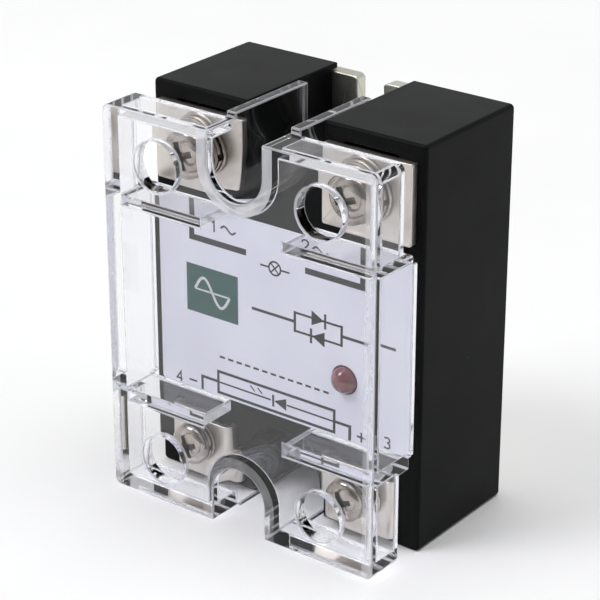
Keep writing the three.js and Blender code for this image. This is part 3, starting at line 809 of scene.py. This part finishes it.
def terminal_screw(number):
    """A pan-head screw with a cross recess and a rolled thread, turned and cut as one solid."""
    node = f"terminal_screw_{number}"
    low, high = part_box(node)
    centre = middle_line(node)
    head_radius = (high.x - low.x) / 2
    size = SIZES[number]
    head_height, major, pitch = size["head"] * MM, size["thread"] * MM, size["pitch"] * MM
    minor = major - 0.58 * pitch
    front, tip = low.y, high.y
    seat = front + head_height
    edge = 0.14 * MM
    dome = head_profile(front, head_radius, head_height)
    profile = dome + [
        (head_radius, seat - 1.6 * edge),
        (head_radius - 0.3 * edge, seat - 0.3 * edge),
        (head_radius - 1.4 * edge, seat),
        (major + 0.1 * MM, seat),
        (minor + 0.05 * MM, seat + 0.12 * MM),
    ]
    rings = [point_ring(centre, front + 0.02 * MM)]
    rings += [circle_ring(centre, radius, y, SCREW_STEPS) for radius, y in profile]
    rings += thread_rings(centre, seat + 0.5 * MM, tip, minor, major, pitch)
    rings += [circle_ring(centre, minor - 0.35 * MM, tip, SCREW_STEPS), point_ring(centre, tip)]
    screw = grid_surface(f"pan_head_screw_{number}", rings, "screw_nickel")
    for punch in recess_punches(centre, front, 0.60 * head_radius, 0.78 * head_height):
        combine(screw, punch, "DIFFERENCE")
    screw.data.materials.clear()
    # painted shade: the recess walls get the dark finish
    paint_recess_shade(screw, centre, dome, seat)
    even_normals(screw, 28)
    return rides(screw, f"screw_{number}", "nickel_plate", node)


def swept(section, centre, angle, lift=0.0):
    """A washer's section at an angle round its line, moved along it by lift."""
    return [around(centre, radius, angle, y + lift) for radius, y in section]


def clamp_washer(number):
    """A flat round washer with rounded edges."""
    node = f"clamp_washer_{number}"
    low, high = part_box(node)
    centre = middle_line(node)
    inner, outer = SIZES[number]["bore"] * MM, (high.x - low.x) / 2
    section = rounded_rectangle((inner, low.y), (outer, high.y), 0.16 * MM, 3)
    steps = 64
    rings = [swept(section, centre, 2 * math.pi * k / steps) for k in range(steps)]
    washer = grid_surface(f"round_washer_{number}", rings, "washer_nickel", closed=True)
    even_normals(washer, 60)
    return rides(washer, f"washers_{number}", "nickel_plate", node)


def split_washer(number):
    """A spring washer: a square bar wound once, its two ends a little apart and offset."""
    node = f"split_washer_{number}"
    low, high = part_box(node)
    centre = middle_line(node)
    inner, outer = SIZES[number]["bore"] * MM, (high.z - low.z) / 2
    rise = 0.22 * (high.y - low.y)
    section = rounded_rectangle((inner, low.y), (outer, high.y - rise), 0.14 * MM, 3)
    gap = math.radians(7)
    steps = 56
    rings = []
    for k in range(steps + 1):
        share = k / steps
        rings.append(swept(section, centre, gap + share * (2 * math.pi - 2 * gap), rise * share))
    rings.insert(0, [sum(rings[0], Vector()) / len(section)])
    rings.append([sum(rings[-1], Vector()) / len(section)])
    washer = grid_surface(f"spring_washer_{number}", rings, "washer_nickel")
    even_normals(washer)
    return rides(washer, f"washers_{number}", "nickel_plate", node)


for number in (1, 2, 3, 4):
    terminal_screw(number)
    clamp_washer(number)
    split_washer(number)


# ---------------------------------------------------------------- status light

def status_light():
    """A domed lens on a flange."""
    low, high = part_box("status_light")
    centre = middle_line("status_light")
    flange = (high.x - low.x) / 2
    radius, edge = 1.95 * MM, 0.1 * MM
    front, rear = low.y, high.y
    shoulder = rear - 1.0 * MM
    dome_steps = 14
    profile = []
    for k in range(1, dome_steps + 1):
        a = (k / dome_steps) * (math.pi / 2)
        profile.append((radius * math.sin(a), front + radius * (1 - math.cos(a))))
    profile += [
        (radius, shoulder - edge),
        (radius + edge, shoulder),
        (flange - edge, shoulder),
        (flange, shoulder + edge),
        (flange, rear - edge),
        (flange - edge, rear),
    ]
    rings = [circle_ring(centre, reach, y, 48) for reach, y in profile]
    rings = [point_ring(centre, front)] + rings + [point_ring(centre, rear)]
    lens = grid_surface("status_light_lens", rings, "light_lens")
    even_normals(lens, 40)
    return rides(lens, "relay", "light_lens", "status_light")


status_light()


# ---------------------------------------------------------------- print on the label

# All the numbers of the print are in mm.
INK_THICKNESS = 0.012
HAIRLINE, THIN, BOLD = 0.22, 0.26, 0.42
SIGN = 0.28
LABEL_LOW, LABEL_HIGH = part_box("face_label")
INK_Y = LABEL_LOW.y / MM
LABEL_BOTTOM, LABEL_TOP = LABEL_LOW.z / MM, LABEL_HIGH.z / MM


class Print:
    """Flat closed pieces of ink on the label's face, drawn in millimetres of x and z."""

    def __init__(self):
        self.mesh = bmesh.new()

    def polygon(self, points, lift=0.0):
        """A flat piece of ink over an outline, raised by lift where it lies on other ink."""
        outlines = []
        for y in (INK_Y - INK_THICKNESS - lift, INK_Y - lift):
            outlines.append([self.mesh.verts.new(Vector((x, y, z)) * MM) for x, z in points])
        close_prism(self.mesh, *outlines)

    def bar(self, x, z, lift=0.0):
        """A rectangle between two x values and two z values."""
        self.polygon(rectangle((x[0], z[0]), (x[1], z[1])), lift)

    def stroke(self, points, width, lift=0.0, loop=False):
        """A line of even width through the points, mitred at each one."""
        vectors = [Vector(p) for p in points]
        count = len(vectors)
        sides = ([], [])
        for k, here in enumerate(vectors):
            before = vectors[k - 1] if k > 0 or loop else None
            after = vectors[(k + 1) % count] if k < count - 1 or loop else None
            outward = None if after is None else (after - here).normalized()
            inward = outward if before is None else (here - before).normalized()
            outward = inward if outward is None else outward
            normal = Vector((-inward.y - outward.y, inward.x + outward.x)).normalized()
            reach = width / 2 / max(0.35, normal.dot(Vector((-inward.y, inward.x))))
            sides[0].append(here + normal * reach)
            sides[1].append(here - normal * reach)
        segments = count if loop else count - 1
        for k in range(segments):
            j = (k + 1) % count
            self.polygon([sides[0][k], sides[1][k], sides[1][j], sides[0][j]], lift)

    def ring(self, centre, radius, width):
        points = [(point.x, point.z) for point in circle_ring(centre, radius, 0, 32)]
        self.stroke(points, width, loop=True)

    def wave(self, x, z, height, width, lift=0.0):
        """One turn of a sine wave between two x values."""
        steps = 20
        points = []
        for k in range(steps + 1):
            share = k / steps
            rise = height * math.sin(2 * math.pi * share)
            points.append((x[0] + (x[1] - x[0]) * share, z + rise))
        self.stroke(points, width, lift)

    def digit(self, value, centre, height):
        """The digits 1 to 4 as plain strokes."""
        half = 0.30 * height
        tall = height / 2
        strokes = {
            1: [[(-0.6, 0.45), (0.1, 1), (0.1, -1)]],
            2: [[(-1, 0.5), (-0.8, 0.85), (-0.3, 1), (0.4, 1), (0.9, 0.75), (0.95, 0.35),
                 (-1, -1), (1, -1)]],
            3: [[(-0.9, 0.9), (0.3, 1), (0.9, 0.75), (0.9, 0.3), (0.1, 0.05)],
                [(0.1, 0.05), (0.95, -0.2), (0.95, -0.75), (0.3, -1), (-0.95, -0.9)]],
            4: [[(0.5, -1), (0.5, 1), (-1, -0.35), (1, -0.35)]],
        }
        for line in strokes[value]:
            self.stroke([(centre[0] + half * x, centre[1] + tall * z) for x, z in line], THIN)

    def piece(self, name, look):
        """Everything drawn so far, as one piece that rides on the relay."""
        return rides(made(name, self.mesh, look), "relay", "label_film")


def black_print():
    p = Print()
    # brackets that lead to the output terminals
    for side, corner_x, end_x in ((-1, -15.35, -5.8), (1, 13.65, 4.2)):
        p.bar(sorted((corner_x - side * 0.45, corner_x + side * 0.45)), (37.6, LABEL_TOP - 0.1))
        p.bar(sorted((corner_x + side * 0.45, end_x)), (36.8, 37.7))
    # terminal numbers and the signs beside them
    p.digit(1, (-11.4, 39.75), 1.8)
    p.wave((-10.2, -7.6), 39.7, 0.42, SIGN)
    p.digit(2, (4.2, 39.7), 1.8)
    p.wave((5.4, 8.0), 39.6, 0.42, SIGN)
    p.digit(4, (-18.1, 15.05), 1.6)
    p.bar((-16.3, -14.9), (15.0, 15.28))
    p.digit(3, (16.4, 15.2), 1.6)
    p.bar((12.95, 14.45), (15.1, 15.38))
    p.bar((13.56, 13.84), (14.5, 15.98))
    # load symbol between the brackets: a lamp
    p.ring((-0.9, 36.15), 0.98, THIN)
    p.stroke([(-1.57, 35.48), (-0.23, 36.82)], HAIRLINE)
    p.stroke([(-1.57, 36.82), (-0.23, 35.48)], HAIRLINE)
    p.bar((-3.4, -1.85), (36.02, 36.28))
    p.bar((0.05, 1.6), (36.02, 36.28))
    # switching symbol in the middle: two thyristors back to back
    middle = 29.3
    p.bar((-4.9, 2.6), (middle - 0.21, middle + 0.21))
    p.bar((10.2, 17.6), (middle - 0.21, middle + 0.21))
    p.bar((2.3, 2.7), (middle - 1.55, middle + 1.55))
    p.bar((10.1, 10.5), (middle - 1.55, middle + 1.55))
    for z, direction in ((middle + 1.35, 1), (middle - 1.35, -1)):
        p.bar((2.3, 10.5), (z - 0.16, z + 0.16))
        tip = 6.4 + 1.0 * direction
        p.polygon([(tip - 2.1 * direction, z + 1.1), (tip - 2.1 * direction, z - 1.1), (tip, z)])
        p.bar(sorted((tip, tip + 0.36 * direction)), (z - 1.1, z + 1.1))
    # the isolation barrier, a row of short dashes
    for k in range(13):
        x = -10.7 + 1.5 * k
        p.bar((x, x + 0.95), (20.1, 20.42))
    # the control input: a box with a light-emitting diode in it, and its two leads
    p.stroke([(-11.0, 14.65), (-11.0, 17.9), (9.2, 17.9), (9.2, 14.65)], BOLD, loop=True)
    p.stroke([(-11.2, 16.3), (-13.9, 16.3), (-13.9, LABEL_BOTTOM + 0.1)], BOLD)
    p.stroke([(9.4, 16.3), (11.8, 16.3), (11.8, LABEL_BOTTOM + 0.1)], BOLD)
    p.bar((-10.8, -1.7), (16.12, 16.38))
    p.bar((1.1, 9.0), (16.12, 16.38))
    p.polygon([(1.0, 17.15), (1.0, 15.35), (-1.1, 16.25)])
    p.bar((-1.45, -1.1), (15.35, 17.15))
    for x in (-3.2, -4.5):
        p.stroke([(x, 16.7), (x - 0.8, 17.4)], HAIRLINE)
    return p.piece("label_print_black", "ink_black")


def green_print():
    p = Print()
    p.bar((-16.4, -7.3), (26.0, 33.2))
    return p.piece("label_print_green", "ink_green")


def white_print():
    p = Print()
    p.wave((-14.9, -8.8), 29.6, 1.9, BOLD, INK_THICKNESS)
    p.bar((-14.9, -8.8), (29.47, 29.73), INK_THICKNESS)
    return p.piece("label_print_white", "ink_white")


black_print()
green_print()
white_print()


# ---------------------------------------------------------------- finishes of the CAD pieces that stay

KEPT = {
    "face_label": "label_film",
    "driver_board": "circuit_board",
    "ceramic_substrate": "ceramic",
    "potting_compound": "potting",
    "optocoupler": "black_epoxy",
    "bridge_rectifier": "black_epoxy",
    "snubber_capacitor": "capacitor_box",
    "snubber_resistor": "resistor_body",
    "smoothing_capacitor": "can_sleeve",
    "varistor": "varistor_coat",
}
for number in (1, 2):
    KEPT[f"thyristor_{number}"] = "silicon"
    KEPT[f"busbar_{number}"] = "copper"
    KEPT[f"gate_lead_{number}"] = "copper"
    KEPT[f"light_lead_{number}"] = "washer_nickel"
    KEPT[f"dropper_resistor_{number}"] = "resistor_body"
    KEPT[f"gate_resistor_{number}"] = "resistor_body"
for number in (1, 2, 3, 4):
    KEPT[f"terminal_nut_{number}"] = "washer_nickel"
for node, look in KEPT.items():
    piece = frame["nodes"][node]
    piece.data.materials.clear()
    piece.data.materials.append(LOOKS[look])


# ---------------------------------------------------------------- floor, light and camera

def floor_material():
    n = Nodes("studio_floor")
    cloud = n.noise(60, 3.0)
    return n.drive(Base_Color=n.ramp(cloud, [(0.3, (0.86, 0.86, 0.86)), (0.7, (0.89, 0.89, 0.89))]),
                   Roughness=n.range(cloud, 0.6, 0.75), Specular_IOR_Level=0.2)


LOOKS["studio_floor"] = floor_material()


def studio_floor():
    reach = 3.0
    mesh = bmesh.new()
    corners = rectangle((-reach, -reach), (reach, reach))
    mesh.faces.new([mesh.verts.new((x, y, 0)) for x, y in corners])
    plain("studio_floor", mesh, "studio_floor")


AIM = Vector((-2.98, 1.88, 28.02)) * MM
CAMERA_AZIMUTH = 37.375
CAMERA_ELEVATION = 24.169
CAMERA_DISTANCE = 0.31457
CAMERA_LENS = 135.9
# Where the room is dimmer: a direction, the cosines of the angle from it where the dimming
# begins and where it is full, and the strength that is left there.
DIMMED = (
    ((0.50, -0.84, 0.20), 0.55, 0.93, 0.13),
    ((0, 0, 1), 0.15, 0.55, 0.45),
)


def direction_to(azimuth, elevation):
    """Angles in degrees. Azimuth 0 is in front of the relay, and 90 to its right."""
    a, e = math.radians(azimuth), math.radians(elevation)
    return Vector((math.sin(a) * math.cos(e), -math.cos(a) * math.cos(e), math.sin(e)))


def softbox(name, azimuth, elevation, distance, size, power):
    """A square lamp that faces the middle of the relay."""
    direction = direction_to(azimuth, elevation)
    lamp = bpy.data.lights.new(name, "AREA")
    lamp.shape = "SQUARE"
    lamp.size = size
    lamp.energy = power
    piece = bpy.data.objects.new(name, lamp)
    piece.location = AIM + direction * distance
    piece.rotation_euler = (-direction).to_track_quat("-Z", "Y").to_euler()
    bpy.context.scene.collection.objects.link(piece)


def camera():
    data = bpy.data.cameras.new("camera")
    data.lens = CAMERA_LENS
    data.sensor_width = 36
    data.clip_start = 0.01
    piece = bpy.data.objects.new("camera", data)
    piece.location = AIM + direction_to(CAMERA_AZIMUTH, CAMERA_ELEVATION) * CAMERA_DISTANCE
    tilt = math.pi / 2 - math.radians(CAMERA_ELEVATION)
    piece.rotation_euler = (tilt, 0, math.radians(CAMERA_AZIMUTH))
    bpy.context.scene.collection.objects.link(piece)
    bpy.context.scene.camera = piece


def world():
    """A bright room, dimmer overhead, and dimmest in front of the relay on its right."""
    surroundings = bpy.data.worlds.new("studio")
    surroundings.use_nodes = True
    tree = surroundings.node_tree
    background = tree.nodes["Background"]
    background.inputs["Color"].default_value = (0.98, 0.985, 1.0, 1)
    direction = tree.nodes.new("ShaderNodeTexCoord")
    product = tree.nodes.new("ShaderNodeMath")
    product.operation = "MULTIPLY"
    for (way, start, end, least), factor in zip(DIMMED, product.inputs):
        dot = tree.nodes.new("ShaderNodeVectorMath")
        dot.operation = "DOT_PRODUCT"
        dot.inputs[1].default_value = Vector(way).normalized()
        strength = tree.nodes.new("ShaderNodeMapRange")
        strength.interpolation_type = "SMOOTHSTEP"
        strength.inputs["From Min"].default_value = start
        strength.inputs["From Max"].default_value = end
        strength.inputs["To Min"].default_value = 1.0
        strength.inputs["To Max"].default_value = least
        tree.links.new(direction.outputs["Generated"], dot.inputs[0])
        tree.links.new(dot.outputs["Value"], strength.inputs["Value"])
        tree.links.new(strength.outputs["Result"], factor)
    tree.links.new(product.outputs["Value"], background.inputs["Strength"])
    bpy.context.scene.world = surroundings


studio_floor()
softbox("key", azimuth=-40, elevation=50, distance=1.4, size=0.5, power=7.5)
softbox("top", azimuth=160, elevation=80, distance=2.0, size=1.4, power=20)
camera()
world()
bpy.context.scene.view_settings.view_transform = "Standard"
bpy.context.scene.view_settings.look = "None"
